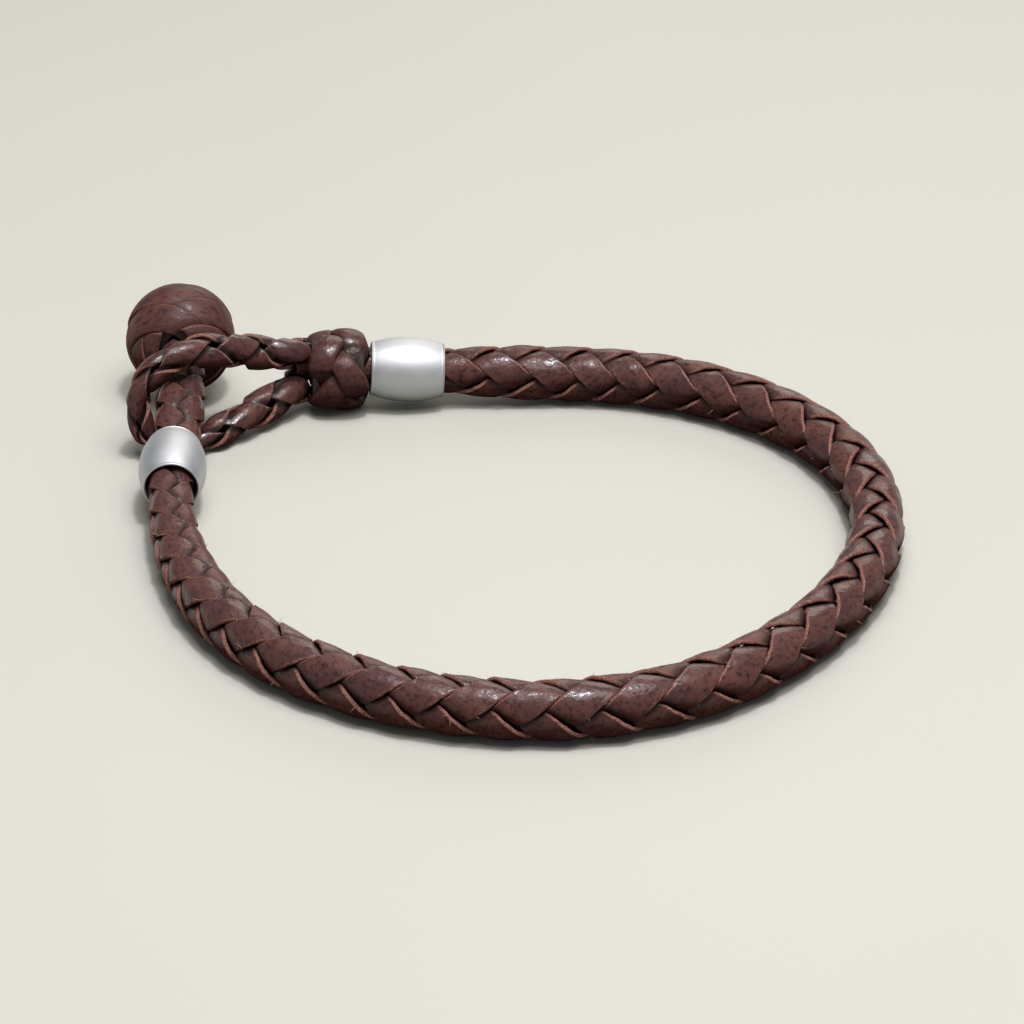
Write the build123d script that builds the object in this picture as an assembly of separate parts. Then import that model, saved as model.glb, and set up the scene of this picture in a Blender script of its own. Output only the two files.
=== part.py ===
from build123d import *
import os
from math import ceil, cos, exp, floor, pi, radians, sin

# A braided leather bracelet, closed: eight laces braided round a cord core, a button knot at one
# end, a braided loop at the other, a small plaited collar at the foot of the loop, and two metal
# beads threaded on the band.  It lies flat.  Millimetres, +Z up, the origin under the middle of
# its outer box.  s is the distance along the band from the middle of the button knot, and
# "outward" is away from the wrist.

# ---- driving dimensions -------------------------------------------------------------------
# The band's plan: straight neck, eight equal arcs with these turns (degrees), straight tail.
BUTTON_AT = (-32.05, 30.95)
NECK_HEADING = -88.4
NECK_LENGTH = 26.4
ARC_LENGTH = 19.5
ARC_TURNS = (22.5, 34.3, 34.0, 41.0, 26.0, 35.5, 41.5, 37.0)
TAIL_LENGTH = 20.4
BAND_LENGTH = NECK_LENGTH + ARC_LENGTH * len(ARC_TURNS) + TAIL_LENGTH

# The band's height: it lies on the table, climbs to the bead, runs level through it over the loop's
# lower leg, climbs again to the button, and rises a little to the collar.  Its neck also bows a
# little towards the wrist.
BEAD_RISE, BEAD_RISE_FROM, BEAD_RISE_LENGTH = 1.95, 48.0, 26.0
NECK_RISE, NECK_RISE_FROM, NECK_RISE_LENGTH = 1.86, 19.0, 24.0
NECK_BOW, NECK_BOW_AT, NECK_BOW_REACH = 0.4, 13.0, 8.0
TAIL_RISE = 1.65
TAIL_RISE_FROM, TAIL_RISE_TO = BAND_LENGTH - 25.0, BAND_LENGTH + 3.0
TAIL_BUMP, TAIL_BUMP_AT, TAIL_BUMP_REACH = 0.28, BAND_LENGTH - 9.0, 8.0

# The braid: outer radius at the ends and in the middle, one lace's full turn, lace thickness.
BAND_END_RADIUS = 2.25
BAND_MID_RADIUS = 2.72
TAPER_AT_NECK, NECK_TAPER = 29.4, 20.0
TAPER_AT_TAIL, TAIL_TAPER = BAND_LENGTH - 9.0, 10.0
NECK_SWELL, NECK_SWELL_FROM, NECK_SWELL_LENGTH = 0.25, 18.6, 5.0
BAND_LACES = 8
BAND_LEAD = 19.2
# The braid is tighter by this share up to the first distance, and evens out over the next length.
TIGHTER, TIGHTER_TO, TIGHTER_FADE = 0.2, 30.0, 30.0
# A hand-made braid is uneven: its stitches lie this far ahead of an even braid's at the button, and
# each step changes that between two distances.
AHEAD = 3.5
AHEAD_STEPS = ((45.0, 57.0, -0.5), (57.0, 90.0, -2.05), (108.0, 120.0, 0.4), (130.0, 165.0, 1.95),
               (166.0, 180.0, -1.1), (180.0, 192.0, -0.7))
LACE_THICKNESS = 0.5
LACE_COVER = 0.82
LAYER_GAP = 0.06
CORE_RADIUS = 1.15
CORE_SIDES = 8
CORE_STEP = 4.0

# The hinge that stands for the band's bend lies opposite the clasp.
FLEX_AT = 104.4

# The button knot: eight laces braided over a round former.
BUTTON_RADIUS = 5.45
FORMER_RADIUS = 4.45
FORMER_FLAT = 3.45
BUTTON_LACES = 8
BUTTON_LEAD = 14.0
BUTTON_COVER = 0.9
BUTTON_LACE_THICKNESS = 0.4
BUTTON_FROM, BUTTON_TO = 30.0, 168.0

# The loop: a four-lace braid whose two legs lie one above the other in the collar.
LOOP_LACES = 4
LOOP_LEAD = 12.0
LOOP_COVER = 0.9
LOOP_LACE_THICKNESS = 0.42
LEG_OFFSET = 1.5
LEG_RADIUS = 1.4
LOOP_FACING = Vector(0.62, -0.78, -0.1).normalized()
# Each point: x, y, z, and the braid's outer radius there.
LOOP_ROUTE = (
    (-21.4, 26.5, 6.5, 1.7),
    (-24.4, 25.6, 7.2, 1.8),
    (-27.2, 23.2, 8.6, 1.8),
    (-30.0, 21.4, 9.35, 1.7),
    (-32.9, 19.7, 8.8, 1.5),
    (-35.0, 18.6, 6.9, 1.4),
    (-35.2, 17.7, 4.6, 1.35),
    (-34.4, 17.1, 2.4, 1.2),
    (-31.9, 17.4, 1.08, 1.05),
    (-29.3, 18.5, 1.3, 1.25),
    (-27.4, 20.0, 1.75, 1.6),
    (-25.0, 22.4, 2.0, 1.75),
    (-22.4, 25.1, 2.35, 1.7),
)

# The collar: a three-part plait of one lace over a whipping of waxed thread.
COLLAR_LENGTH = 6.2
COLLAR_RADIUS = 4.1
COLLAR_LACE_WIDTH = 1.9
COLLAR_LACE_THICKNESS = 0.4
COLLAR_LAYER_GAP = 0.12
COLLAR_BIGHTS = 4
COLLAR_ROUNDS = 3
COLLAR_ROWS_PER_CROSSING = 8
WHIPPING_BORE = 2.95
WHIPPING_RADIUS = 3.1
WHIPPING_LENGTH = 5.0
WHIPPING_GROOVE = 0.08
WHIPPING_TURNS = 8

# The beads: barrels with a plain bore.
BEAD_LENGTH = 7.2
BEAD_RADIUS = 3.2
BEAD_END_RADIUS = 2.66
BEAD_BORE = 2.5
BEAD_EDGE = 0.08
BEAD_1_AT = 23.7
BEAD_2_AT = BAND_LENGTH - COLLAR_LENGTH / 2 - BEAD_LENGTH / 2 - 0.1


# ---- the band's centreline ----------------------------------------------------------------
def ease(t):
    """Rises smoothly from 0 to 1 as t does."""
    t = min(max(t, 0.0), 1.0)
    return t * t * (3 - 2 * t)


def band_radius(s):
    swell = min(ease((s - TAPER_AT_NECK) / NECK_TAPER), ease((TAPER_AT_TAIL - s) / TAIL_TAPER))
    neck = NECK_SWELL * ease((NECK_SWELL_FROM - s) / NECK_SWELL_LENGTH)
    return BAND_END_RADIUS + (BAND_MID_RADIUS - BAND_END_RADIUS) * swell + neck


def band_height(s):
    neck = BEAD_RISE * ease((BEAD_RISE_FROM - s) / BEAD_RISE_LENGTH)
    neck += NECK_RISE * ease((NECK_RISE_FROM - s) / NECK_RISE_LENGTH)
    tail = TAIL_RISE * ease((s - TAIL_RISE_FROM) / (TAIL_RISE_TO - TAIL_RISE_FROM))
    tail += TAIL_BUMP * exp(-((s - TAIL_BUMP_AT) / TAIL_BUMP_REACH) ** 2)
    return band_radius(s) + neck + tail


def band_plan(s):
    """The point and heading (radians) of the plan curve at s."""
    x, y = BUTTON_AT
    heading = radians(NECK_HEADING)
    runs = [(NECK_LENGTH, 0.0)]
    runs += [(ARC_LENGTH, radians(turn)) for turn in ARC_TURNS]
    runs += [(TAIL_LENGTH * 2, 0.0)]
    for length, turn in runs:
        part = min(s, length) if s > 0 or length != NECK_LENGTH else s
        bend = turn * part / length
        chord = part if abs(bend) < 1e-9 else 2 * sin(bend / 2) * part / bend
        x += chord * cos(heading + bend / 2)
        y += chord * sin(heading + bend / 2)
        heading += bend
        s -= part
        if s <= 0:
            break
    return x, y, heading


def band_frame(s):
    """Centre, direction, outward and upward at s along the band."""
    x, y, heading = band_plan(s)
    slope = (band_height(s + 0.05) - band_height(s - 0.05)) / 0.1
    along = Vector(cos(heading), sin(heading), slope).normalized()
    outward = Vector(sin(heading), -cos(heading), 0)
    bow = NECK_BOW * exp(-((s - NECK_BOW_AT) / NECK_BOW_REACH) ** 2)
    return Vector(x, y, band_height(s)) - outward * bow, along, outward, outward.cross(along)


# ---- solids made of flat triangles --------------------------------------------------------
def solid_of(triangles):
    faces = [Face(Wire.make_polygon(corners, close=True)) for corners in triangles]
    return Solid(Shell(faces))


def panel(a, b, c, d):
    """The four-sided patch a b c d, folded along b-d."""
    return [(a, b, d), (b, c, d)]


def ribbon(rows, closed=False):
    """A strap: each row has its outer points and its inner points, in the same order across."""
    triangles = []
    following = rows[1:] + rows[:1] if closed else rows[1:]
    for (top, low), (next_top, next_low) in zip(rows, following):
        for side, next_side in ((top, next_top), (low, next_low)):
            for i in range(len(side) - 1):
                triangles += panel(side[i], side[i + 1], next_side[i + 1], next_side[i])
        for i in (0, -1):
            triangles += panel(top[i], low[i], next_low[i], next_top[i])
    if not closed:
        for top, low in (rows[0], rows[-1]):
            for i in range(len(top) - 1):
                triangles += panel(top[i], top[i + 1], low[i + 1], low[i])
    return solid_of(triangles)


def rod(rings):
    """A bar through rings of points that have the same count, with fanned ends."""
    triangles = []
    for ring, next_ring in zip(rings, rings[1:]):
        for i in range(len(ring)):
            j = (i + 1) % len(ring)
            triangles += panel(ring[i], ring[j], next_ring[j], next_ring[i])
    for ring in (rings[0], rings[-1]):
        triangles += [(ring[0], ring[i], ring[i + 1]) for i in range(1, len(ring) - 1)]
    return solid_of(triangles)


# ---- braiding -----------------------------------------------------------------------------
# A braid of n laces has n/2 that turn one way (hand +1) and n/2 that turn the other (hand -1).
# A lace keeps one phase: angle - turn on hand +1, angle + turn on hand -1, where turn is
# 360 * s / lead.  It crosses the other hand's laces at their phases.
PLUS_PHASE = 56.0
MINUS_PHASE = 11.0
OVER_FROM = 22.0


def braid_lace(surface, start, stop, laces, lead, cover, thickness, hand, number, steps):
    """One lace of a round braid from start to stop, lying over or under whole crossings.

    surface gives the point at a distance, an angle and a depth below the braid's outside.
    """
    spacing = 720.0 / laces
    half = cover * spacing / 2
    own, other = (PLUS_PHASE, MINUS_PHASE) if hand > 0 else (MINUS_PHASE, PLUS_PHASE)
    own += number * spacing
    degrees_per_mm = 720.0 / lead
    offsets = [half * (2 * i / steps - 1) for i in range(steps + 1)]

    def point(phase, crossing, depth):
        return surface(hand * (crossing - phase) / degrees_per_mm, radians((phase + crossing) / 2), depth)

    margin = half / degrees_per_mm * 2
    first = own + hand * (start + margin) * degrees_per_mm
    last = own + hand * (stop - margin) * degrees_per_mm
    low, high = sorted(((first - other) / spacing, (last - other) / spacing))
    crossings = [other + spacing * j for j in range(ceil(low), floor(high) + 1)]
    rows = []
    for crossing in crossings[::hand]:
        over = ((own + crossing - OVER_FROM) % 360 < 180) == (hand > 0)
        depth = 0.0 if over else thickness + LAYER_GAP
        for offset in offsets:
            across = [own + hand * o for o in offsets]
            place = crossing + hand * offset
            top = [point(phase, place, depth) for phase in across]
            low_side = [point(phase, place, depth + thickness) for phase in across]
            rows.append((top, low_side))
    return ribbon(rows)


# ---- the sub-parts ------------------------------------------------------------------------
def beyond_flex(side):
    """A block that starts at the flex plane and lies on one side of it."""
    centre, along, outward, upward = band_frame(FLEX_AT)
    depth = 12.0
    plane = Plane(origin=centre, x_dir=outward, z_dir=along * side)
    return plane * Pos(0, 0, depth / 2) * Box(14, 14, depth)


def braid_distance(turns):
    """The distance along the band that the even braid's distance falls at, tighter near the neck."""
    fade = min(max((turns - TIGHTER_TO) / TIGHTER_FADE, 0.0), 1.0)
    held = TIGHTER_FADE * (0.5 - fade + fade**3 - fade**4 / 2) + max(TIGHTER_TO - turns, 0.0)
    ahead = AHEAD + sum(step * ease((turns - low) / (high - low)) for low, high, step in AHEAD_STEPS)
    return turns + TIGHTER * held + ahead


def band_surface(turns, angle, depth):
    s = braid_distance(turns)
    centre, along, outward, upward = band_frame(s)
    return centre + (outward * cos(angle) + upward * sin(angle)) * (band_radius(s) - depth)


def band_half(start, stop, hand, number, cut):
    lace = braid_lace(band_surface, start, stop, BAND_LACES, BAND_LEAD, LACE_COVER, LACE_THICKNESS, hand,
                      number, 1)
    return lace - cut


def core_half(start, stop):
    count = ceil((stop - start) / CORE_STEP)
    rings = []
    for i in range(count + 1):
        centre, along, outward, upward = band_frame(start + (stop - start) * i / count)
        angles = [2 * pi * k / CORE_SIDES for k in range(CORE_SIDES)]
        rings.append([centre + (outward * cos(a) + upward * sin(a)) * CORE_RADIUS for a in angles])
    return rod(rings)


def button_former():
    """A ball with a flat where the braid's neck meets it."""
    centre, along, outward, upward = band_frame(0)
    plane = Plane(origin=centre, x_dir=outward, z_dir=along)
    return plane * (Sphere(FORMER_RADIUS) - Pos(0, 0, FORMER_FLAT + 5) * Box(12, 12, 10))


def button_surface(s, angle, depth):
    """s is the distance over the ball from where its laces start, growing towards its crown."""
    centre, along, outward, upward = band_frame(0)
    polar = radians(BUTTON_FROM) + s / BUTTON_RADIUS
    ray = along * cos(polar) + (outward * cos(angle) + upward * sin(angle)) * sin(polar)
    return centre + ray * (BUTTON_RADIUS - depth)


def button_lace(hand, number):
    stop = BUTTON_RADIUS * radians(BUTTON_TO - BUTTON_FROM)
    return braid_lace(button_surface, 0.0, stop, BUTTON_LACES, BUTTON_LEAD, BUTTON_COVER,
                      BUTTON_LACE_THICKNESS, hand, number, 2)


def loop_points():
    """The loop's route with its two ends lying in the collar, one above the other."""
    middle, along, outward, upward = band_frame(BAND_LENGTH)
    face = middle + along * (COLLAR_LENGTH / 2 + 0.3)
    inside = middle + along * 0.6
    points = []
    for place in (inside, face):
        points.append((place + upward * LEG_OFFSET, LEG_RADIUS))
    points += [(Vector(x, y, z), radius) for x, y, z, radius in LOOP_ROUTE]
    for place in (face, inside):
        points.append((place - upward * LEG_OFFSET, LEG_RADIUS))
    return points


def smooth_path(points, t):
    """Point, direction and radius at t on a Catmull-Rom curve through the points."""
    last = len(points) - 1
    i = min(max(floor(t), 0), last - 1)
    u = t - i
    (p0, r0), (p1, r1) = points[max(i - 1, 0)], points[i]
    (p2, r2), (p3, r3) = points[i + 1], points[min(i + 2, last)]
    place = (p1 * 2 + (p2 - p0) * u + (p0 * 2 - p1 * 5 + p2 * 4 - p3) * u**2
             + (p1 * 3 - p0 - p2 * 3 + p3) * u**3) * 0.5
    slope = (p2 - p0) + (p0 * 2 - p1 * 5 + p2 * 4 - p3) * 2 * u + (p1 * 3 - p0 - p2 * 3 + p3) * 3 * u**2
    return place, slope.normalized(), r1 + (r2 - r1) * ease(u)


class LoopPath:
    """Distance along the loop's curve, from one leg's end in the collar to the other's."""

    def __init__(self):
        self.points = loop_points()
        self.table = [(0.0, 0.0)]
        steps = 16
        here = smooth_path(self.points, 0)[0]
        for k in range(1, steps * (len(self.points) - 1) + 1):
            there = smooth_path(self.points, k / steps)[0]
            self.table.append((self.table[-1][0] + (there - here).length, k / steps))
            here = there
        self.length = self.table[-1][0]

    def at(self, s):
        s = min(max(s, 0.0), self.length)
        low = max(k for k, (distance, t) in enumerate(self.table[:-1]) if distance <= s)
        (s0, t0), (s1, t1) = self.table[low], self.table[low + 1]
        return smooth_path(self.points, t0 + (t1 - t0) * (s - s0) / (s1 - s0))

    def frame(self, s):
        place, along, radius = self.at(s)
        outward = along.cross(LOOP_FACING).normalized()
        return place, along, outward, outward.cross(along)

    def surface(self, s, angle, depth):
        place, along, outward, upward = self.frame(s)
        return place + (outward * cos(angle) + upward * sin(angle)) * (self.at(s)[2] - depth)


def loop_lace(path, hand, number):
    return braid_lace(path.surface, 0.0, path.length, LOOP_LACES, LOOP_LEAD, LOOP_COVER,
                      LOOP_LACE_THICKNESS, hand, number, 2)


def collar_lace():
    """A three-part Turk's head: one lace goes round three times while it swings side to side."""
    centre, along, outward, upward = band_frame(BAND_LENGTH)
    swing = (COLLAR_LENGTH - COLLAR_LACE_WIDTH) / 2
    count = COLLAR_ROWS_PER_CROSSING * 4 * COLLAR_BIGHTS
    layer = COLLAR_LACE_THICKNESS + COLLAR_LAYER_GAP
    rows = []
    for row in range(count):
        turn = 2 * pi * (row + 0.5) / count
        angle = COLLAR_ROUNDS * turn
        side = swing * sin(COLLAR_BIGHTS * turn)
        over = min(max(0.5 + 1.6 * sin(2 * COLLAR_BIGHTS * turn), 0.0), 1.0)
        inner = COLLAR_RADIUS - COLLAR_LACE_THICKNESS - layer * (1 - over)
        top, low = [], []
        for across in (-0.5, 0.0, 0.5):
            place = side + across * COLLAR_LACE_WIDTH
            ray = outward * cos(angle) + upward * sin(angle)
            top.append(centre + along * place + ray * (inner + COLLAR_LACE_THICKNESS))
            low.append(centre + along * place + ray * inner)
        rows.append((top, low))
    return ribbon(rows, closed=True)


def loop_whipping():
    """A short sleeve of thread turns that binds the loop's legs to the band."""
    centre, along, outward, upward = band_frame(BAND_LENGTH)
    pitch = WHIPPING_LENGTH / WHIPPING_TURNS
    edge = [(WHIPPING_BORE, -WHIPPING_LENGTH / 2)]
    for turn in range(WHIPPING_TURNS):
        low = -WHIPPING_LENGTH / 2 + pitch * turn
        edge += [(WHIPPING_RADIUS - WHIPPING_GROOVE, low), (WHIPPING_RADIUS, low + pitch / 2)]
    edge += [(WHIPPING_RADIUS - WHIPPING_GROOVE, WHIPPING_LENGTH / 2)]
    edge += [(WHIPPING_BORE, WHIPPING_LENGTH / 2)]
    outline = make_face(Plane.XZ * Polyline(*edge, close=True))
    return Plane(origin=centre, x_dir=outward, z_dir=along) * revolve(outline, Axis.Z)


def bead(s):
    """A barrel bead on the band, its bore along the band's direction."""
    centre, along, outward, upward = band_frame(s)
    half = BEAD_LENGTH / 2
    corners = ((BEAD_BORE, -half), (BEAD_END_RADIUS, -half), (BEAD_RADIUS, 0), (BEAD_END_RADIUS, half),
               (BEAD_BORE, half))
    inner_low, outer_low, belly, outer_high, inner_high = corners
    outline = make_face(Plane.XZ * (Line(inner_low, outer_low) + ThreePointArc(outer_low, belly, outer_high)
                                    + Line(outer_high, inner_high) + Line(inner_high, inner_low)))
    barrel = revolve(outline, Axis.Z)
    barrel = fillet(barrel.edges().filter_by(GeomType.CIRCLE), BEAD_EDGE)
    return Plane(origin=centre, x_dir=outward, z_dir=along) * barrel


# ---- write every sub-part -----------------------------------------------------------------
def make_parts():
    parts = {}
    reach = 10.0
    before, after = beyond_flex(-1), beyond_flex(1)
    band_start, band_stop = FORMER_FLAT + 0.1, BAND_LENGTH - 0.1
    turns_start = (band_start - AHEAD - TIGHTER * (TIGHTER_TO + TIGHTER_FADE / 2)) / (1 - TIGHTER)
    turns_stop = band_stop - AHEAD - sum(step for low, high, step in AHEAD_STEPS)
    for number in range(BAND_LACES // 2):
        for hand, name in ((1, number + 1), (-1, number + 1 + BAND_LACES // 2)):
            parts[f"band_lace_{name}_button_half"] = band_half(turns_start, FLEX_AT + reach, hand, number, after)
            parts[f"band_lace_{name}_loop_half"] = band_half(FLEX_AT - reach, turns_stop, hand, number, before)
    parts["core_button_half"] = core_half(band_start, FLEX_AT)
    parts["core_loop_half"] = core_half(FLEX_AT, band_stop)
    parts["button_former"] = button_former()
    for number in range(BUTTON_LACES // 2):
        parts[f"button_lace_{number + 1}"] = button_lace(1, number)
        parts[f"button_lace_{number + 1 + BUTTON_LACES // 2}"] = button_lace(-1, number)
    path = LoopPath()
    for number in range(LOOP_LACES // 2):
        parts[f"loop_lace_{number + 1}"] = loop_lace(path, 1, number)
        parts[f"loop_lace_{number + 1 + LOOP_LACES // 2}"] = loop_lace(path, -1, number)
    parts["collar_lace"] = collar_lace()
    parts["loop_whipping"] = loop_whipping()
    parts["bead_1"] = bead(BEAD_1_AT)
    parts["bead_2"] = bead(BEAD_2_AT)
    return parts


os.makedirs("parts", exist_ok=True)
for node, shape in make_parts().items():
    export_step(shape, f"parts/{node}.step")
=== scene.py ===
from dataclasses import dataclass
from math import cos, pi, radians, sin
import bpy
import numpy as np
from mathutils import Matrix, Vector


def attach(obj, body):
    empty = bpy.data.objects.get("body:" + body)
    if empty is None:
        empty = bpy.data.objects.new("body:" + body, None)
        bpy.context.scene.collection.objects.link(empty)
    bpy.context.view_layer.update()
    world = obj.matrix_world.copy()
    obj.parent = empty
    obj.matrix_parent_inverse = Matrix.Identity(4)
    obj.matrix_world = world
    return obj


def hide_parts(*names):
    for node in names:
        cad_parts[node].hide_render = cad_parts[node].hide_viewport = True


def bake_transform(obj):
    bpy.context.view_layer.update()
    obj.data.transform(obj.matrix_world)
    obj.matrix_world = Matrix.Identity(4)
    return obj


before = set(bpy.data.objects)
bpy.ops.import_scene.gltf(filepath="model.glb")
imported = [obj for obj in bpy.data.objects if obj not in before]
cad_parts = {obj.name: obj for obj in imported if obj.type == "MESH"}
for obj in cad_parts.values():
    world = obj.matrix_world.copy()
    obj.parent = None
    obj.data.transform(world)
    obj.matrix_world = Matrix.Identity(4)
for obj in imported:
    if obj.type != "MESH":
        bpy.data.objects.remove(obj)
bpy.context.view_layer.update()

# A braided leather bracelet with a button knot, a loop, a small plaited collar and two metal
# beads.  Shapes are worked out in millimetres and made in metres.  s is the distance along the
# band from the middle of the button, and "outward" is away from the wrist.
MM = 0.001

# ---- the band's plan and height, as in the CAD part ---------------------------------------
BUTTON_AT = (-32.05, 30.95)
NECK_HEADING = -88.4
NECK_LENGTH = 26.4
ARC_LENGTH = 19.5
ARC_TURNS = (22.5, 34.3, 34.0, 41.0, 26.0, 35.5, 41.5, 37.0)
TAIL_LENGTH = 20.4
BAND_LENGTH = NECK_LENGTH + ARC_LENGTH * len(ARC_TURNS) + TAIL_LENGTH
BEAD_RISE, BEAD_RISE_FROM, BEAD_RISE_LENGTH = 1.95, 48.0, 26.0
NECK_RISE, NECK_RISE_FROM, NECK_RISE_LENGTH = 1.86, 19.0, 24.0
NECK_BOW, NECK_BOW_AT, NECK_BOW_REACH = 0.4, 13.0, 8.0
TAIL_RISE = 1.65
TAIL_RISE_FROM, TAIL_RISE_TO = BAND_LENGTH - 25.0, BAND_LENGTH + 3.0
TAIL_BUMP, TAIL_BUMP_AT, TAIL_BUMP_REACH = 0.28, BAND_LENGTH - 9.0, 8.0
BAND_END_RADIUS = 2.25
BAND_MID_RADIUS = 2.72
TAPER_AT_NECK, NECK_TAPER = 29.4, 20.0
TAPER_AT_TAIL, TAIL_TAPER = BAND_LENGTH - 9.0, 10.0
NECK_SWELL, NECK_SWELL_FROM, NECK_SWELL_LENGTH = 0.25, 18.6, 5.0

# ---- braiding -----------------------------------------------------------------------------
# Half the laces turn one way (hand +1) and half the other way (hand -1).  A lace keeps one
# phase: angle - turn on hand +1, angle + turn on hand -1, where turn is 360 * s / lead.  The
# crossing phase runs along a lace, which lies over and then under others once in 360 degrees of it.
BAND_LACES, BAND_LEAD = 8, 19.2
BUTTON_LACES, BUTTON_LEAD = 8, 14.0
LOOP_LACES, LOOP_LEAD = 4, 12.0
PLUS_PHASE, MINUS_PHASE = 56.0, 11.0
BAND_OVER_FROM, LOOP_OVER_FROM = 22.0, -23.0
# Degrees of crossing phase from one row of a lace's mesh to the next.
ROW_STEP = 9.0
# The whole braid is turned by up to this many degrees about one distance.
TWIST, TWIST_AT, TWIST_REACH = -16.0, 114.4, 28.0
# The braid is tighter by this share up to the first distance, and evens out over the next length.
TIGHTER, TIGHTER_TO, TIGHTER_FADE = 0.2, 30.0, 30.0
# A hand-made braid is uneven: its stitches lie this far ahead of an even braid's at the button, and
# each step changes that between two distances.
AHEAD = 3.5
AHEAD_STEPS = ((45.0, 57.0, -0.5), (57.0, 90.0, -2.05), (108.0, 120.0, 0.4), (130.0, 165.0, 1.95),
               (166.0, 180.0, -1.1), (180.0, 192.0, -0.7))

# Each band lace is parted near the two cuts, and the part between them bends between the other two.
CUT_LOW, CUT_HIGH = 81.4, 126.0
BAND_LACE_FROM, BAND_LACE_TO = 4.6, BAND_LENGTH - 1.4

# ---- the button, the loop, the collar and the beads ---------------------------------------
BUTTON_RADIUS = 5.45
# The ball's laces run between these angles from its neck, and sink into it near the crown.
BUTTON_NECK, BUTTON_CROWN = 24.0, 178.0
CROWN_SINK, CROWN_SINK_SPAN = 0.3, 22.0
BUTTON_LACE_START = 0.6
LEG_OFFSET, LEG_RADIUS = 1.5, 1.9
LEG_FACE_GAP, LEG_INSIDE, LOOP_LACE_INSET = 0.3, 0.6, 2.0
LOOP_FACING = (0.62, -0.78, -0.1)
# Each point: x, y, z, and the braid's outer radius there.
LOOP_ROUTE = (
    (-21.4, 26.5, 6.5, 1.7),
    (-24.4, 25.6, 7.2, 1.8),
    (-27.2, 23.2, 8.6, 1.8),
    (-30.0, 21.4, 9.35, 1.7),
    (-32.9, 19.7, 8.8, 1.5),
    (-35.0, 18.6, 6.9, 1.4),
    (-35.2, 17.7, 4.6, 1.35),
    (-34.4, 17.1, 2.4, 1.2),
    (-31.9, 17.4, 1.08, 1.05),
    (-29.3, 18.5, 1.3, 1.25),
    (-27.4, 20.0, 1.75, 1.6),
    (-25.0, 22.4, 2.0, 1.75),
    (-22.4, 25.1, 2.35, 1.85),
)
COLLAR_LENGTH, COLLAR_RADIUS = 6.2, 4.0
COLLAR_BIGHTS, COLLAR_ROUNDS = 4, 3
COLLAR_LACE_WIDTH, COLLAR_LACE_THICKNESS = 2.75, 0.5
COLLAR_TOP, COLLAR_RISE, COLLAR_BULGE = 0.12, 0.46, 0.5
COLLAR_ROWS = 384
BEAD_LENGTH, BEAD_RADIUS, BEAD_END_RADIUS, BEAD_BORE = 7.2, 3.2, 2.58, 2.43
BEAD_1_AT = 23.7
BEAD_2_AT = BAND_LENGTH - COLLAR_LENGTH / 2 - BEAD_LENGTH / 2 - 0.1
BEAD_RIM = 0.12
# The core cord lies this far below the braid's outside, and its strands turn once in its lay.
CORE_DEPTH, CORE_LAY = 1.06, 6.0
CORE_FROM, CORE_TO = 3.6, BAND_LENGTH - 0.2
CORE_STEP, CORE_SIDES = 0.5, 24

# ---- unevenness: lengths of the waves along a lace, in millimetres ------------------------
EDGE_WAVES = (0.9, 2.4, 5.0)
WOBBLE_WAVES = (3.0, 7.0)
TILT_WAVES = (4.0, 9.0)
LIP_WAVES = (1.1, 2.6)
COLLAR_WAVES = (9.0, 17.0)
LIP_UNEVEN, COLLAR_UNEVEN = 0.4, 0.06
# The hide's pattern is stretched along a lace, and each lace takes it from another depth.
GRAIN_STRETCH, GRAIN_APART = 1.4, 3.7

# ---- loose fibres -------------------------------------------------------------------------
FIBRE_ROOT_DEPTH, FIBRE_LENGTHS = 0.16, (0.2, 0.55)
FIBRE_PLACES = (0.0, 0.35, 0.7, 1.0)
FIBRE_RADII = (0.032, 0.026, 0.019, 0.010)
FIBRE_SIDES = 3

# ---- the camera ---------------------------------------------------------------------------
CAMERA_TARGET = (0.65, 6.45, 0.0)
CAMERA_DISTANCE, CAMERA_ELEVATION = 425.25, 29.0
CAMERA_LENS, CAMERA_SENSOR = 158.2, 36.0


# ---- small maths --------------------------------------------------------------------------
def ease(t):
    """Rises smoothly from 0 to 1 as t does."""
    t = np.clip(t, 0.0, 1.0)
    return t * t * (3 - 2 * t)


def unit(v):
    return v / np.linalg.norm(v, axis=-1, keepdims=True)


def ripple(x, seed, sizes, depth=1.0):
    """Smooth noise along x: sine waves of about these lengths with seeded lengths and phases."""
    rng = np.random.default_rng(seed)
    total = np.zeros_like(x, dtype=float)
    for size in sizes:
        for _ in range(3):
            length = size * rng.uniform(0.7, 1.5)
            total = total + np.sin(2 * pi * (x / length + rng.uniform())) / 3
    return depth * total / len(sizes)


# ---- the band's centreline ----------------------------------------------------------------
def plan_runs():
    """Each run of the plan curve: start distance, x, y, heading, and turn per millimetre."""
    lengths = [NECK_LENGTH] + [ARC_LENGTH] * len(ARC_TURNS) + [TAIL_LENGTH * 2]
    turns = [0.0] + [radians(turn) for turn in ARC_TURNS] + [0.0]
    s, (x, y), heading = 0.0, BUTTON_AT, radians(NECK_HEADING)
    runs = []
    for length, turn in zip(lengths, turns):
        runs.append((s, x, y, heading, turn / length))
        chord = length * np.sinc(turn / 2 / pi)
        x += chord * cos(heading + turn / 2)
        y += chord * sin(heading + turn / 2)
        heading += turn
        s += length
    return np.array(runs)


PLAN = plan_runs()


def band_radius(s):
    swell = np.minimum(ease((s - TAPER_AT_NECK) / NECK_TAPER), ease((TAPER_AT_TAIL - s) / TAIL_TAPER))
    neck = NECK_SWELL * ease((NECK_SWELL_FROM - s) / NECK_SWELL_LENGTH)
    return BAND_END_RADIUS + (BAND_MID_RADIUS - BAND_END_RADIUS) * swell + neck


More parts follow.
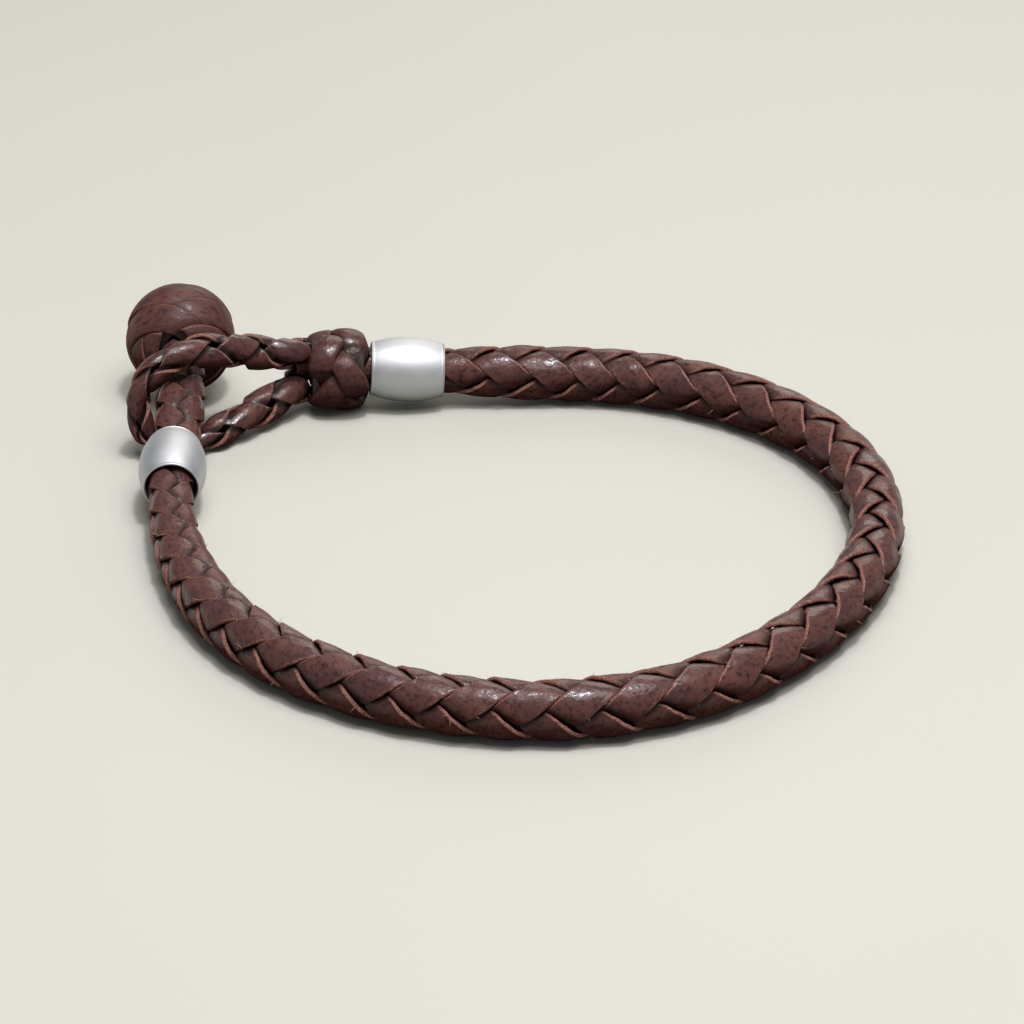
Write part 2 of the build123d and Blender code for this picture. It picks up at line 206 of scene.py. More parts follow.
def band_height(s):
    neck = BEAD_RISE * ease((BEAD_RISE_FROM - s) / BEAD_RISE_LENGTH)
    neck = neck + NECK_RISE * ease((NECK_RISE_FROM - s) / NECK_RISE_LENGTH)
    tail = TAIL_RISE * ease((s - TAIL_RISE_FROM) / (TAIL_RISE_TO - TAIL_RISE_FROM))
    tail = tail + TAIL_BUMP * np.exp(-((s - TAIL_BUMP_AT) / TAIL_BUMP_REACH) ** 2)
    return band_radius(s) + neck + tail


def band_frame(s):
    """Centre, direction, outward and upward at each s along the band."""
    s = np.asarray(s, dtype=float)
    run = np.clip(np.searchsorted(PLAN[:, 0], s, side="right") - 1, 0, len(PLAN) - 1)
    from_s, x, y, heading, curl = (PLAN[run, k] for k in range(5))
    part = s - from_s
    bend = curl * part
    chord = part * np.sinc(bend / 2 / pi)
    x = x + chord * np.cos(heading + bend / 2)
    y = y + chord * np.sin(heading + bend / 2)
    heading = heading + bend
    slope = (band_height(s + 0.05) - band_height(s - 0.05)) / 0.1
    centre = np.stack([x, y, band_height(s)], axis=-1)
    along = unit(np.stack([np.cos(heading), np.sin(heading), slope], axis=-1))
    outward = np.stack([np.sin(heading), -np.cos(heading), np.zeros_like(heading)], axis=-1)
    bow = NECK_BOW * np.exp(-((s - NECK_BOW_AT) / NECK_BOW_REACH) ** 2)
    return centre - outward * bow[..., None], along, outward, np.cross(outward, along)


def around(outward, upward, angle):
    return outward * np.cos(angle)[..., None] + upward * np.sin(angle)[..., None]


def braid_distance(turns):
    """The distance along the band that the even braid's distance falls at, tighter near the neck."""
    fade = np.clip((turns - TIGHTER_TO) / TIGHTER_FADE, 0.0, 1.0)
    held = TIGHTER_FADE * (0.5 - fade + fade**3 - fade**4 / 2) + np.maximum(TIGHTER_TO - turns, 0.0)
    ahead = AHEAD + sum(step * ease((turns - low) / (high - low)) for low, high, step in AHEAD_STEPS)
    return turns + TIGHTER * held + ahead


def band_surface(turns, angle, height):
    """The point at a braid distance and angle, height above the braid's outer radius."""
    s = braid_distance(turns)
    centre, _, outward, upward = band_frame(s)
    twist = radians(TWIST) * np.exp(-((s - TWIST_AT) / TWIST_REACH) ** 2)
    return centre + around(outward, upward, angle + twist) * (band_radius(s) + height)[..., None]


def button_surface(s, angle, height):
    """The same on the ball: s is 0 at its neck and falls towards its crown."""
    centre, along, outward, upward = band_frame(0.0)
    polar = radians(BUTTON_NECK) - s / BUTTON_RADIUS
    sink = CROWN_SINK * ease((np.degrees(polar) - BUTTON_CROWN + CROWN_SINK_SPAN) / CROWN_SINK_SPAN)
    ray = along * np.cos(polar)[..., None] + around(outward, upward, angle) * np.sin(polar)[..., None]
    return centre + ray * (BUTTON_RADIUS + height - sink)[..., None]


# ---- the loop's path ----------------------------------------------------------------------
def loop_points():
    """The loop's route with its two ends lying in the collar, one above the other."""
    middle, along, _, upward = band_frame(BAND_LENGTH)
    face = middle + along * (COLLAR_LENGTH / 2 + LEG_FACE_GAP)
    inside = middle + along * LEG_INSIDE
    points = [[*(place + upward * LEG_OFFSET), LEG_RADIUS] for place in (inside, face)]
    points += [list(point) for point in LOOP_ROUTE]
    points += [[*(place - upward * LEG_OFFSET), LEG_RADIUS] for place in (face, inside)]
    return np.array(points)


def loop_table():
    """Distance, place, direction and radius sampled along a Catmull-Rom curve."""
    points = loop_points()
    padded = np.vstack([points[:1], points, points[-1:]])
    rows = []
    for i in range(len(points) - 1):
        p0, p1, p2, p3 = padded[i:i + 4]
        for u in np.linspace(0, 1, 16, endpoint=i == len(points) - 2):
            a, b, c = p2 - p0, 2 * p0 - 5 * p1 + 4 * p2 - p3, 3 * p1 - p0 - 3 * p2 + p3
            place = (2 * p1 + a * u + b * u**2 + c * u**3) / 2
            slope = a + 2 * b * u + 3 * c * u**2
            radius = p1[3] + (p2[3] - p1[3]) * float(ease(u))
            rows.append([*place[:3], *unit(slope[:3]), radius])
    rows = np.array(rows)
    steps = np.linalg.norm(np.diff(rows[:, :3], axis=0), axis=1)
    return np.concatenate([[0.0], np.cumsum(steps)]), rows


LOOP_S, LOOP_ROWS = loop_table()
LOOP_TOTAL = LOOP_S[-1]


def loop_surface(s, angle, height):
    """The point at a distance and angle on the loop, height above its outer radius."""
    x, y, z, ax, ay, az, radius = (np.interp(s, LOOP_S, LOOP_ROWS[:, k]) for k in range(7))
    along = unit(np.stack([ax, ay, az], axis=-1))
    outward = unit(np.cross(along, unit(np.array(LOOP_FACING))))
    upward = np.cross(outward, along)
    return np.stack([x, y, z], axis=-1) + around(outward, upward, angle) * (radius + height)[..., None]


# ---- meshes -------------------------------------------------------------------------------
def signed_volume(points, faces):
    a, b, c, d = (points[faces[:, k]] for k in range(4))
    return float(np.einsum("ij,ij->", a, np.cross(b, c)) + np.einsum("ij,ij->", a, np.cross(c, d)))


def make_piece(name, points, faces, caps=(), grain=None, cut=None, lift=None):
    """A smooth mesh object from millimetre points and four-sided faces, with its attributes."""
    points = points.reshape(-1, 3)
    centre = points.mean(axis=0)
    if signed_volume(points - centre, faces) < 0:
        faces = faces[:, ::-1]
        caps = [cap[::-1] for cap in caps]
    mesh = bpy.data.meshes.new(name)
    mesh.from_pydata((points * MM).tolist(), [], faces.tolist() + [list(cap) for cap in caps])
    mesh.polygons.foreach_set("use_smooth", [True] * len(faces) + [False] * len(caps))
    if grain is not None:
        mesh.attributes.new("grain", "FLOAT_VECTOR", "POINT").data.foreach_set("vector", grain.ravel())
    if cut is not None:
        mesh.attributes.new("cut", "FLOAT", "POINT").data.foreach_set("value", cut.ravel())
        mesh.attributes.new("lift", "FLOAT", "POINT").data.foreach_set("value", lift.ravel())
    mesh.update()
    piece = bpy.data.objects.new(name, mesh)
    bpy.context.scene.collection.objects.link(piece)
    return piece


def grid_faces(rows, columns, closed_rows=False):
    """Faces of a grid whose columns close round; its rows may close too."""
    r = np.arange(rows if closed_rows else rows - 1)[:, None] * columns
    k = np.arange(columns)[None, :]
    here, beside = r + k, r + (k + 1) % columns
    total = rows * columns
    corners = [here, beside, (beside + columns) % total, (here + columns) % total]
    return np.stack(corners, axis=-1).reshape(-1, 4)


def end_caps(rows, columns):
    """The two faces that close the first and the last row of a grid."""
    first = list(range(columns))
    last = [(rows - 1) * columns + k for k in range(columns)]
    return [first[::-1], last]


# ---- one lace's cross-section -------------------------------------------------------------
# Across runs from -1 to +1 over the lace, depth is in lace thicknesses below its top, and cut says
# how much of the raw cut leather shows.  Both edges are cut on a slant.
EDGE = [(0.60, 0.0, 0.0), (0.80, 0.0, 0.0), (0.865, 0.02, 0.25), (0.90, 0.10, 1.0), (0.96, 0.38, 1.0),
        (1.0, 0.72, 1.0)]
UNDERSIDE = [(0.96, 0.98, 1.0), (0.5, 1.0, 1.0), (0.0, 1.0, 1.0), (-0.5, 1.0, 1.0), (-0.96, 0.98, 1.0)]
TOP = [(-x, z, c) for x, z, c in EDGE[::-1]] + [(-0.3, 0.0, 0.0), (0.0, 0.0, 0.0), (0.3, 0.0, 0.0)] + EDGE
SECTION = np.array(TOP + UNDERSIDE)


@dataclass
class Style:
    """How a braid's laces lie, in millimetres but for three values.

    half is half a lace's width in degrees of phase, plateau is the power that flattens the top of
    its hump, and ragged is the share of half by which its edges wander.
    """

    half: float
    thickness: float
    rise: float
    plateau: float
    dome: float
    lip: float
    width: float
    ragged: float
    uneven: float


BAND_STYLE = Style(half=45.5, thickness=0.50, rise=0.36, plateau=0.53, dome=0.15, lip=0.24,
                   width=3.1, ragged=0.08, uneven=0.10)
BUTTON_STYLE = Style(half=46.0, thickness=0.32, rise=0.17, plateau=0.45, dome=0.02, lip=0.0,
                     width=3.2, ragged=0.02, uneven=0.05)
LOOP_STYLE = Style(half=70.0, thickness=0.42, rise=0.24, plateau=0.80, dome=0.08, lip=0.12,
                   width=2.2, ragged=0.04, uneven=0.06)


def lace_phase(laces, hand, number):
    own = PLUS_PHASE if hand > 0 else MINUS_PHASE
    return own + number * 720.0 / laces


def run_share(own, crossing, hand, over_from):
    """Where in its over-and-under cycle a lace is: 0 to 1 is over, 1 to 2 is under."""
    phase = (own + crossing - over_from) % 360
    return np.where(hand > 0, phase, (360 - phase) % 360) / 180


def lace_place(own, crossing, hand, offset, lead):
    """Distance and angle of a lace at a crossing phase, offset degrees of phase from its middle."""
    s = hand * (crossing - own - offset) / (720.0 / lead)
    return s, np.radians((own + offset + crossing) / 2)


def braid_strap(name, surface, start, stop, laces, lead, hand, number, style, over_from, seed):
    """One lace of a round braid between two crossing phases."""
    own = lace_phase(laces, hand, number)
    steps = max(int(abs(stop - start) / ROW_STEP), 8)
    crossing = np.linspace(start, stop, steps + 1)[:, None]
    across, depth, cut = (SECTION[None, :, k] for k in range(3))
    along = crossing * hand / (720.0 / lead)
    low_edge = ripple(along, seed, EDGE_WAVES, style.ragged)
    high_edge = ripple(along, seed + 1, EDGE_WAVES, style.ragged)
    offset = -hand * across * style.half * (1 + np.where(across > 0, high_edge, low_edge))
    s, angle = lace_place(own, crossing, hand, offset, lead)
    share = run_share(own, crossing, hand, over_from)
    bump = np.where(share < 1, np.sin(pi * np.clip(share, 0, 1)) ** style.plateau, 0.0)
    wobble = ripple(along, seed + 2, WOBBLE_WAVES, style.uneven)
    tilt = across * ripple(along, seed + 3, TILT_WAVES, style.uneven)
    curl = ripple(along, seed + 4, LIP_WAVES, LIP_UNEVEN) + 1
    curve = style.lip * curl * np.abs(across) ** 7 - style.dome * across ** 2
    height = style.rise * 2 * (bump - 1) + (wobble + tilt + curve) * (0.3 + 0.7 * bump)
    height = height - depth * style.thickness
    points = surface(s, angle, height)
    inward = seed * GRAIN_APART + depth * style.thickness
    grain = np.broadcast_arrays(across * style.width / 2, along * GRAIN_STRETCH, inward)
    cuts = np.broadcast_to(cut, s.shape)
    rows, columns = s.shape
    return make_piece(name, points, grid_faces(rows, columns), end_caps(rows, columns),
                      np.stack(grain, axis=-1), cuts, np.broadcast_to(bump, s.shape))


def finish_piece(piece, material, body=None, replaced=(), bends=False):
    """Gives a piece its material and slot, and its body unless it bends with the band."""
    piece.data.materials.append(material)
    if bends:
        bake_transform(piece)
    else:
        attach(piece, body)
    if replaced:
        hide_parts(*replaced)


# ---- materials ----------------------------------------------------------------------------
class Shader:
    """A node material with short calls for adding and joining nodes."""

    def __init__(self, name):
        self.material = bpy.data.materials.new(name)
        self.material.use_nodes = True
        self.tree = self.material.node_tree
        self.bsdf = self.tree.nodes["Principled BSDF"]

    def node(self, kind, inputs=None, **settings):
        made = self.tree.nodes.new(kind)
        for key, value in settings.items():
            setattr(made, key, value)
        for key, value in (inputs or {}).items():
            self.feed(made.inputs[key], value)
        return made

    def feed(self, socket, value):
        """Links a socket's value in, or sets a plain one."""
        if isinstance(value, bpy.types.NodeSocket):
            self.tree.links.new(value, socket)
        else:
            socket.default_value = value

    def noise(self, vector, scale, detail=3.0, roughness=0.55):
        inputs = {"Vector": vector, "Scale": scale, "Detail": detail, "Roughness": roughness}
        return self.node("ShaderNodeTexNoise", inputs).outputs["Fac"]

    def cells(self, vector, scale):
        inputs = {"Vector": vector, "Scale": scale}
        return self.node("ShaderNodeTexVoronoi", inputs).outputs["Distance"]

    def stretch(self, vector, scale):
        inputs = {"Vector": vector, "Scale": scale}
        return self.node("ShaderNodeMapping", inputs).outputs["Vector"]

    def ramp(self, value, low, high, to_low=0.0, to_high=1.0):
        inputs = {"Value": value, "From Min": low, "From Max": high, "To Min": to_low, "To Max": to_high}
        return self.node("ShaderNodeMapRange", inputs).outputs["Result"]

    def mix(self, share, a, b):
        made = self.node("ShaderNodeMix", data_type="RGBA")
        self.feed(made.inputs["Factor"], share)
        self.feed(made.inputs["A"], a)
        self.feed(made.inputs["B"], b)
        return made.outputs["Result"]

    def maths(self, operation, a, b=0.0):
        made = self.node("ShaderNodeMath", operation=operation)
        self.feed(made.inputs[0], a)
        self.feed(made.inputs[1], b)
        return made.outputs[0]

    def bump(self, height, strength, distance, normal=None):
        inputs = {"Height": height, "Strength": strength, "Distance": distance * MM}
        if normal is not None:
            inputs["Normal"] = normal
        return self.node("ShaderNodeBump", inputs).outputs["Normal"]

    def facing_up(self):
        """How far the surface faces up: 1 on top, 0 on a side, -1 underneath."""
        normal = self.node("ShaderNodeNewGeometry").outputs["Normal"]
        return self.node("ShaderNodeSeparateXYZ", {0: normal}).outputs[2]

    def set(self, **values):
        for key, value in values.items():
            self.feed(self.bsdf.inputs[key.replace("_", " ")], value)


def colour(r, g, b):
    return (r, g, b, 1.0)


DARK_HIDE = colour(0.030, 0.0115, 0.0120)
MID_HIDE = colour(0.078, 0.0285, 0.0270)
WARM_HIDE = colour(0.125, 0.048, 0.038)
RAW_LIGHT = colour(0.41, 0.185, 0.145)
RAW_DARK = colour(0.085, 0.031, 0.028)
PAINTED_SHADE_DARK = colour(0.009, 0.004, 0.004)
PAINTED_UNDER_REFLECTION = colour(0.17, 0.175, 0.15)


def leather(name, roughness=0.50, coat=0.55, raw=0.85, wrinkle=1.0, gap=(0.15, 0.75), shade=0.0):
    """Dark brown finished hide with a fine grain, cross wrinkles and pale raw cut edges.

    gap gives the lifts between which the hide goes from a painted crevice shade to its own colour.
    """
    sh = Shader(name)
    grain = sh.node("ShaderNodeAttribute", attribute_name="grain").outputs["Vector"]
    cut = sh.node("ShaderNodeAttribute", attribute_name="cut").outputs["Fac"]
    lift = sh.node("ShaderNodeAttribute", attribute_name="lift").outputs["Fac"]
    patches = sh.noise(grain, 0.28, 3.0)
    mottle = sh.noise(grain, 2.2, 4.0)
    specks = sh.noise(grain, 6.5, 4.0, 0.65)
    drift = sh.noise(grain, 0.75, 2.0)
    creases = sh.noise(sh.stretch(grain, (0.8, 2.6, 1.0)), 1.6, 4.0, 0.65)
    pores = sh.cells(grain, 5.0)
    hide = sh.mix(sh.ramp(patches, 0.35, 0.68), MID_HIDE, WARM_HIDE)
    hide = sh.mix(sh.ramp(mottle, 0.52, 0.30), hide, DARK_HIDE)
    hide = sh.mix(shade, hide, DARK_HIDE)
    raw_colour = sh.mix(sh.ramp(specks, 0.36, 0.62), RAW_DARK, RAW_LIGHT)
    ragged = sh.maths("ADD", cut, sh.ramp(drift, 0.35, 0.65, -0.40, 0.12))
    ragged = sh.maths("ADD", ragged, sh.ramp(specks, 0.35, 0.65, -0.22, 0.22))
    show = sh.maths("MULTIPLY", sh.ramp(ragged, 0.30, 0.62), raw)
    base = sh.mix(show, hide, raw_colour)
    # Painted shade: the hide is darkened toward near-black where its lace dips under the others.
    base = sh.mix(sh.ramp(lift, gap[0], gap[1]), PAINTED_SHADE_DARK, base)
    # Painted shade: faces that turn down are darkened toward the same dark, more the further they face the
    # floor.
    facing = sh.facing_up()
    painted_light_share = sh.ramp(facing, -0.75, 0.25, 0.22, 1.0)
    base = sh.mix(painted_light_share, PAINTED_SHADE_DARK, base)
    gloss = sh.ramp(mottle, 0.3, 0.7, roughness - 0.08, roughness + 0.12)
    shine = sh.maths("MULTIPLY", sh.ramp(patches, 0.60, 0.42, 0.25, 1.0), coat)
    rough = sh.maths("ADD", gloss, sh.maths("MULTIPLY", show, 0.35))
    sheen = sh.ramp(facing, -0.10, 0.45)
    coated = sh.maths("MULTIPLY", sh.maths("SUBTRACT", 1.0, show), sh.maths("MULTIPLY", sheen, shine))
    normal = sh.bump(pores, 0.25, 0.06)
    normal = sh.bump(specks, sh.maths("MULTIPLY", show, 0.7), 0.16, normal)
    normal = sh.bump(creases, 0.20 * wrinkle, 0.16, normal)
    normal = sh.bump(drift, 0.60, 0.20, normal)
    glaze = sh.bump(creases, 0.12 * wrinkle, 0.16, sh.bump(drift, 0.75, 0.22))
    sh.set(Base_Color=base, Roughness=rough, Normal=normal, Coat_Weight=coated, Coat_Roughness=0.15)
    sh.set(Coat_Normal=glaze, Specular_IOR_Level=sh.maths("MULTIPLY", sheen, 0.20))
    return sh.material


def satin_metal(name):
    """Satin silver-coloured metal with a painted darker reflection on its underside."""
    sh = Shader(name)
    place = sh.node("ShaderNodeTexCoord").outputs["Object"]
    smudge = sh.noise(place, 420.0, 3.0)
    scuff = sh.noise(place, 2600.0, 3.0)
    silver = sh.mix(smudge, colour(0.57, 0.585, 0.60), colour(0.65, 0.66, 0.675))
    # Painted reflection: the silver turns a dull dark grey on faces that turn down.
    painted_light_share = sh.ramp(sh.facing_up(), -0.80, 0.25, 0.20, 1.0)
    sh.set(Base_Color=sh.mix(painted_light_share, PAINTED_UNDER_REFLECTION, silver), Metallic=1.0)
    sh.set(Roughness=sh.ramp(smudge, 0.3, 0.7, 0.55, 0.63), Normal=sh.bump(scuff, 0.10, 0.04))
    return sh.material


def thread(name, base):
    """A rough, finely streaked material from one base colour."""
    sh = Shader(name)
    place = sh.node("ShaderNodeTexCoord").outputs["Object"]
    strand = sh.noise(place, 3000.0, 4.0)
    sh.set(Base_Color=sh.mix(strand, base, colour(base[0] * 1.8, base[1] * 1.8, base[2] * 1.8)))
    sh.set(Roughness=0.7, Normal=sh.bump(strand, 0.5, 0.1))
    return sh.material


def floor_material():
    sh = Shader("pale_floor")
    place = sh.node("ShaderNodeTexCoord").outputs["Object"]
    cloud = sh.noise(place, 6.0, 3.0)
    sh.set(Base_Color=sh.mix(cloud, colour(0.50, 0.495, 0.44), colour(0.56, 0.55, 0.49)), Roughness=0.75)
    return sh.material


BAND_HIDE = leather("band_leather")
BUTTON_HIDE = leather("button_leather", coat=0.12, raw=0.45, wrinkle=0.6, gap=(0.0, 0.4))
LOOP_HIDE = leather("loop_leather", roughness=0.45, coat=0.7, gap=(0.0, 0.45))
COLLAR_HIDE = leather("collar_leather", roughness=0.42, coat=0.6, raw=0.12, gap=(0.1, 0.7), shade=0.25)
BEAD_METAL = satin_metal("satin_silver")
WAXED_THREAD = thread("waxed_thread", colour(0.018, 0.008, 0.007))
CORD = thread("cotton_cord", colour(0.022, 0.013, 0.011))
WOOD = thread("stained_wood", colour(0.035, 0.020, 0.014))
FIBRE = thread("raw_fibre", colour(0.30, 0.18, 0.12))


# ---- the laces ----------------------------------------------------------------------------
def under_phase(own, hand, s, lead, over_from):
    """The crossing phase nearest to distance s at which the lace is halfway through passing under."""
    near = own + hand * s * 720.0 / lead
    middle = 270.0 if hand > 0 else 90.0
    return near + (middle - (own + near - over_from) + 180) % 360 - 180


def band_lace(name, hand, number, seed):
    own = lace_phase(BAND_LACES, hand, number)
    low_cut, high_cut = (under_phase(own, hand, s, BAND_LEAD, BAND_OVER_FROM) for s in (CUT_LOW, CUT_HIGH))
    start_turns = (BAND_LACE_FROM - AHEAD - TIGHTER * (TIGHTER_TO + TIGHTER_FADE / 2)) / (1 - TIGHTER)
    stop_turns = BAND_LACE_TO - AHEAD - sum(step for _, _, step in AHEAD_STEPS)
    first = own + hand * start_turns * 720 / BAND_LEAD
    last = own + hand * stop_turns * 720 / BAND_LEAD
    for part, start, stop, body in (("button_part", first, low_cut, "button_end"),
                                    ("flex_part", low_cut, high_cut, None),
                                    ("loop_part", high_cut, last, "loop_end")):
        piece = braid_strap(f"lace_{name}_{part}", band_surface, start, stop, BAND_LACES, BAND_LEAD, hand,
                            number, BAND_STYLE, BAND_OVER_FROM, seed)
        node = f"band_lace_{name}_{part}".replace("_part", "_half")
        finish_piece(piece, BAND_HIDE, body, [node] if body else [], bends=body is None)


def button_lace(name, hand, number, seed):
    own = lace_phase(BUTTON_LACES, hand, number)
    length = BUTTON_RADIUS * radians(BUTTON_CROWN - BUTTON_NECK)
    start = own - hand * length * 720 / BUTTON_LEAD
    stop = own - hand * BUTTON_LACE_START * 720 / BUTTON_LEAD
    piece = braid_strap(f"button_strap_{name}", button_surface, start, stop, BUTTON_LACES, BUTTON_LEAD, hand,
                        number, BUTTON_STYLE, BAND_OVER_FROM, seed)
    finish_piece(piece, BUTTON_HIDE, "button_end", [f"button_lace_{name}"])


def loop_lace(name, hand, number, seed):
    own = lace_phase(LOOP_LACES, hand, number)
    start = own + hand * LOOP_LACE_INSET * 720 / LOOP_LEAD
    stop = own + hand * (LOOP_TOTAL - LOOP_LACE_INSET) * 720 / LOOP_LEAD
    piece = braid_strap(f"loop_strap_{name}", loop_surface, start, stop, LOOP_LACES, LOOP_LEAD, hand,
                        number, LOOP_STYLE, LOOP_OVER_FROM, seed)
    finish_piece(piece, LOOP_HIDE, "loop_end", [f"loop_lace_{name}"])


def make_laces():
    for number in range(BAND_LACES // 2):
        for hand, name in ((1, number + 1), (-1, number + 1 + BAND_LACES // 2)):
            band_lace(name, hand, number, seed=100 + 10 * name)
            button_lace(name, hand, number, seed=300 + 10 * name)
    for number in range(LOOP_LACES // 2):
        for hand, name in ((1, number + 1), (-1, number + 1 + LOOP_LACES // 2)):
            loop_lace(name, hand, number, seed=500 + 10 * name)


# ---- loose fibres at the cut edges --------------------------------------------------------
def fibre_roots(low, high, count, rng):
    """Distance and angle of raw lace edges picked at random where their lace lies over."""
    tries = count * 6
    hand = rng.choice((-1, 1), tries)
    first = np.where(hand > 0, PLUS_PHASE, MINUS_PHASE)
    own = first + rng.integers(0, BAND_LACES // 2, tries) * (720.0 / BAND_LACES)
    crossing = own + hand * rng.uniform(low, high, tries) * (720.0 / BAND_LEAD)
    share = run_share(own, crossing, hand, BAND_OVER_FROM)
    offset = rng.choice((-1, 1), tries) * BAND_STYLE.half * 0.94
    s, angle = lace_place(own, crossing, hand, offset, BAND_LEAD)
    good = (share > 0.2) & (share < 0.8)
    return s[good][:count], angle[good][:count]


def edge_fibres(name, low, high, count, seed, body=None, bends=False):
    """Short curved hairs that stand off the raw edges of the laces."""
    rng = np.random.default_rng(seed)
    s, angle = fibre_roots(low, high, count, rng)
    root = band_surface(s, angle, np.full_like(s, -FIBRE_ROOT_DEPTH))
    away = unit(band_surface(s, angle, np.full_like(s, 0.5)) - root)
    lean = unit(rng.normal(size=root.shape))
    length = rng.uniform(*FIBRE_LENGTHS, len(s))[:, None]
    t = np.array(FIBRE_PLACES)
    spine = (root[:, None] + (length * unit(away + lean * 0.9))[:, None] * t[None, :, None]
             + (length * lean * 0.5)[:, None] * (t * t)[None, :, None])
    side = unit(np.cross(away, lean))
    other = unit(np.cross(lean, side))
    turn = np.linspace(0, 2 * pi, FIBRE_SIDES, endpoint=False)
    ring = side[:, None] * np.cos(turn)[None, :, None] + other[:, None] * np.sin(turn)[None, :, None]
    points = spine[:, :, None] + ring[:, None] * np.array(FIBRE_RADII)[None, :, None, None]
    starts = len(t) * FIBRE_SIDES * np.arange(len(s))
    faces = (grid_faces(len(t), FIBRE_SIDES)[None] + starts[:, None, None]).reshape(-1, 4)
    caps = [[start + corner for corner in cap]
            for start in starts.tolist() for cap in end_caps(len(t), FIBRE_SIDES)]
    piece = make_piece(name, points, faces, caps)
    finish_piece(piece, FIBRE, body, bends=bends)


def make_fibres():
    edge_fibres("edge_fibres_button_part", low=28.0, high=80.0, count=90, seed=801, body="button_end")
    edge_fibres("edge_fibres_flex_part", low=84.0, high=124.0, count=75, seed=802, bends=True)
    edge_fibres("edge_fibres_loop_part", low=128.0, high=178.0, count=75, seed=803, body="loop_end")


# ---- the collar ---------------------------------------------------------------------------
def collar_strap():
    """A three-part plait of one lace round the band, with four scallops on each side."""
    centre, along, outward, upward = band_frame(BAND_LENGTH)
    turn = (2 * pi * (np.arange(COLLAR_ROWS) + 0.5) / COLLAR_ROWS)[:, None]
    swing = (COLLAR_LENGTH - COLLAR_LACE_WIDTH) / 2
    across, depth, cut = (SECTION[None, :, k] for k in range(3))
    side = swing * np.sin(COLLAR_BIGHTS * turn)
    girth = COLLAR_ROUNDS * COLLAR_RADIUS
    slope = np.arctan2(swing * COLLAR_BIGHTS * np.cos(COLLAR_BIGHTS * turn), girth)
    wander = ripple(turn * 40, 71, COLLAR_WAVES, COLLAR_UNEVEN)
    reach = across * COLLAR_LACE_WIDTH / 2 * (1 + wander)
    place = side + reach * np.cos(slope)
    angle = COLLAR_ROUNDS * turn - reach * np.sin(slope) / COLLAR_RADIUS
    level = np.sin(2 * COLLAR_BIGHTS * turn)
    level = np.sign(level) * np.abs(level) ** 0.7
    barrel = -COLLAR_BULGE * (place / (COLLAR_LENGTH / 2)) ** 2
    dome = 0.10 * across ** 2 + 0.26 * across ** 6
    height = COLLAR_TOP + COLLAR_RISE * (level - 1) - dome + barrel - depth * COLLAR_LACE_THICKNESS
    # This lift sets the painted crevice shade: darker where the lace dips and toward its edges.
    lift = 0.62 + 0.38 * level - 0.55 * across ** 4
    ray = around(outward, upward, angle)
    points = centre + along * place[..., None] + ray * (COLLAR_RADIUS + height)[..., None]
    rows, columns = place.shape
    grain = np.broadcast_arrays(reach, turn * girth, 90.0 + depth * COLLAR_LACE_THICKNESS)
    piece = make_piece("collar_plait", points, grid_faces(rows, columns, closed_rows=True), (),
                       np.stack(grain, axis=-1), np.broadcast_to(cut, place.shape), lift)
    finish_piece(piece, COLLAR_HIDE, "loop_end", ["collar_lace"])


# ---- the core cord ------------------------------------------------------------------------
def core_cord(name, start, stop, body=None, replaced=(), bends=False):
    """Three strands laid up into a round cord: one lobed section that turns as it goes."""
    rows = int((stop - start) / CORE_STEP) + 1
    s = np.linspace(start, stop, rows)[:, None]
    angle = np.linspace(0, 2 * pi, CORE_SIDES, endpoint=False)[None, :]
    lay = 2 * pi * s / CORE_LAY
    radius = (band_radius(s) - CORE_DEPTH) * (0.9 + 0.1 * np.abs(np.cos(1.5 * (angle - lay))))
    centre, _, outward, upward = band_frame(s)
    points = centre + around(outward, upward, angle) * radius[..., None]
    piece = make_piece(name, points, grid_faces(rows, CORE_SIDES), end_caps(rows, CORE_SIDES))
    finish_piece(piece, CORD, body, replaced, bends)


def make_core():
    core_cord("core_cord_button_part", CORE_FROM, CUT_LOW, "button_end", ["core_button_half"])
    core_cord("core_cord_flex_part", CUT_LOW, CUT_HIGH, bends=True)
    core_cord("core_cord_loop_part", CUT_HIGH, CORE_TO, "loop_end", ["core_loop_half"])


# ---- the beads ----------------------------------------------------------------------------
def bead_outline():
    """Axial place and radius round the bead's section: barrel outside, rolled rims, plain bore."""
    half, rim = BEAD_LENGTH / 2, BEAD_RIM
    barrel = [(half * t, BEAD_RADIUS - (BEAD_RADIUS - BEAD_END_RADIUS) * t * t)
              for t in np.linspace(-0.965, 0.965, 33)]
    end = [(half - rim + rim * sin(turn), BEAD_BORE + rim - rim * cos(pi - turn))
           for turn in np.linspace(0, pi, 9)]
    bore = [(half * t, BEAD_BORE) for t in (0.9, 0.5, 0.0, -0.5, -0.9)]
    other_end = [(-place, radius) for place, radius in end[::-1]]
    return np.array(barrel + end + bore + other_end)


def bead(name, s, body):
    """A barrel round the band at s; its body and its CAD node have the same name."""
    centre, along, outward, upward = band_frame(s)
    outline = bead_outline()
    angle = np.linspace(0, 2 * pi, 112, endpoint=False)
    ray = around(outward, upward, angle)
    points = centre + outline[None, :, :1] * along + ray[:, None, :] * outline[None, :, 1:]
    piece = make_piece(name, points, grid_faces(len(angle), len(outline), closed_rows=True))
    finish_piece(piece, BEAD_METAL, body, [body])


# ---- stage --------------------------------------------------------------------------------
def make_floor():
    size = 3.0
    corners = [(-size, -size, 0), (size, -size, 0), (size, size, 0), (-size, size, 0)]
    mesh = bpy.data.meshes.new("floor")
    mesh.from_pydata(corners, [], [(0, 1, 2, 3)])
    floor = bpy.data.objects.new("floor", mesh)
    bpy.context.scene.collection.objects.link(floor)
    mesh.materials.append(floor_material())


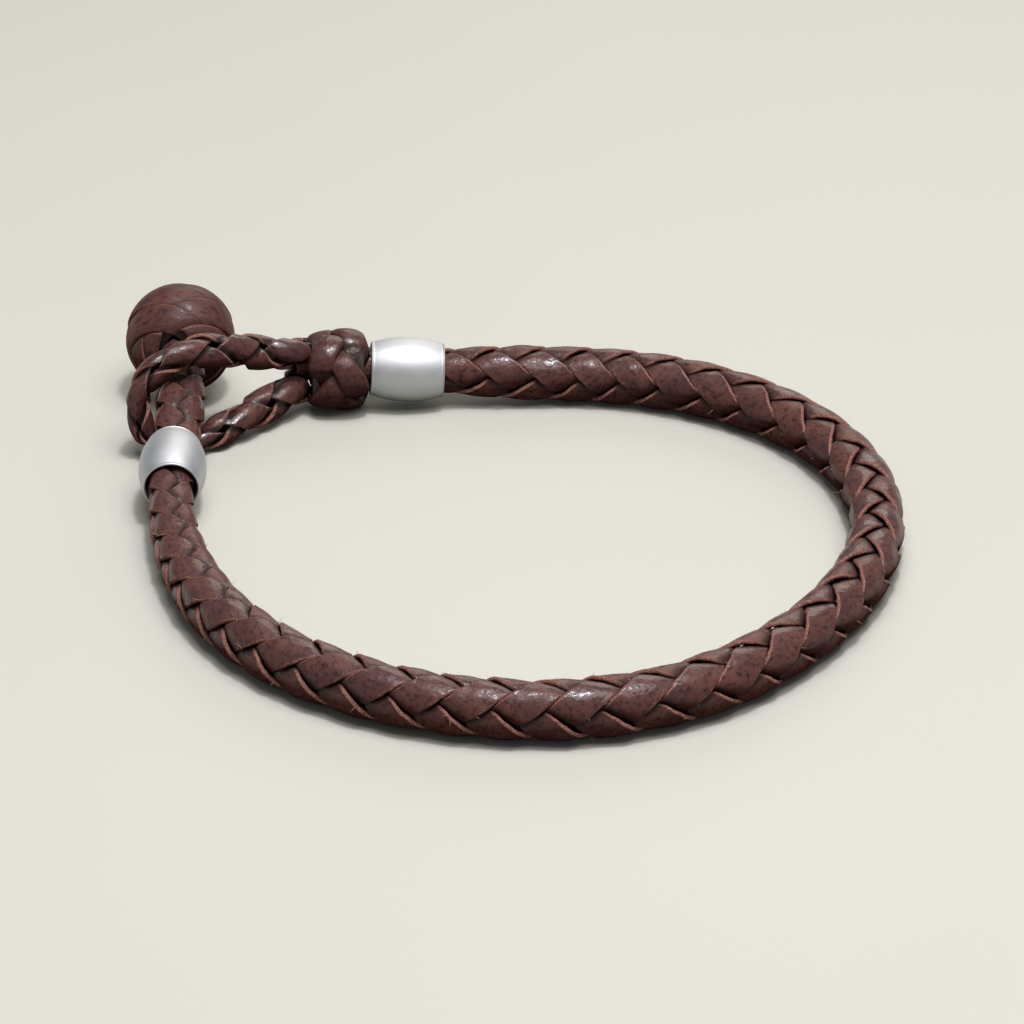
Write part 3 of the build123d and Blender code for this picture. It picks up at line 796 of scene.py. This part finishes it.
def area_light(name, place, size, energy, tint):
    """A round soft light that faces the origin."""
    data = bpy.data.lights.new(name, "AREA")
    data.shape = "DISK"
    data.size = size
    data.energy = energy
    data.color = tint
    lamp = bpy.data.objects.new(name, data)
    lamp.location = Vector(place)
    lamp.rotation_mode = "QUATERNION"
    lamp.rotation_quaternion = (-Vector(place)).to_track_quat("-Z", "Y")
    bpy.context.scene.collection.objects.link(lamp)


def make_lights():
    area_light("key", (0.06, -0.06, 0.49), size=0.42, energy=2.1, tint=(1.0, 0.985, 0.97))
    area_light("spark", (0.05, -0.05, 0.50), size=0.07, energy=1.2, tint=(0.96, 0.95, 1.0))
    area_light("back", (0.10, 0.60, 0.35), size=0.45, energy=1.1, tint=(1.0, 0.93, 0.84))
    world = bpy.data.worlds.new("soft_room")
    world.use_nodes = True
    background = world.node_tree.nodes["Background"]
    background.inputs["Color"].default_value = (0.92, 0.95, 1.0, 1.0)
    background.inputs["Strength"].default_value = 0.22
    bpy.context.scene.world = world


def make_camera():
    data = bpy.data.cameras.new("camera")
    data.lens = CAMERA_LENS
    data.sensor_width = CAMERA_SENSOR
    data.clip_start, data.clip_end = 0.01, 20.0
    camera = bpy.data.objects.new("camera", data)
    tilt = radians(CAMERA_ELEVATION)
    back = Vector((0.0, -cos(tilt), sin(tilt)))
    camera.location = (Vector(CAMERA_TARGET) + back * CAMERA_DISTANCE) * MM
    camera.rotation_mode = "QUATERNION"
    camera.rotation_quaternion = (-back).to_track_quat("-Z", "Y")
    bpy.context.scene.collection.objects.link(camera)
    bpy.context.scene.camera = camera


# ---- build --------------------------------------------------------------------------------
make_floor()
make_lights()
make_camera()
make_laces()
make_fibres()
collar_strap()
make_core()
bead("bead_1_barrel", BEAD_1_AT, "bead_1")
bead("bead_2_barrel", BEAD_2_AT, "bead_2")
for node, material in (("button_former", WOOD), ("loop_whipping", WAXED_THREAD)):
    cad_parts[node].data.materials.clear()
    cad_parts[node].data.materials.append(material)
bpy.context.scene.view_settings.view_transform = "Standard"
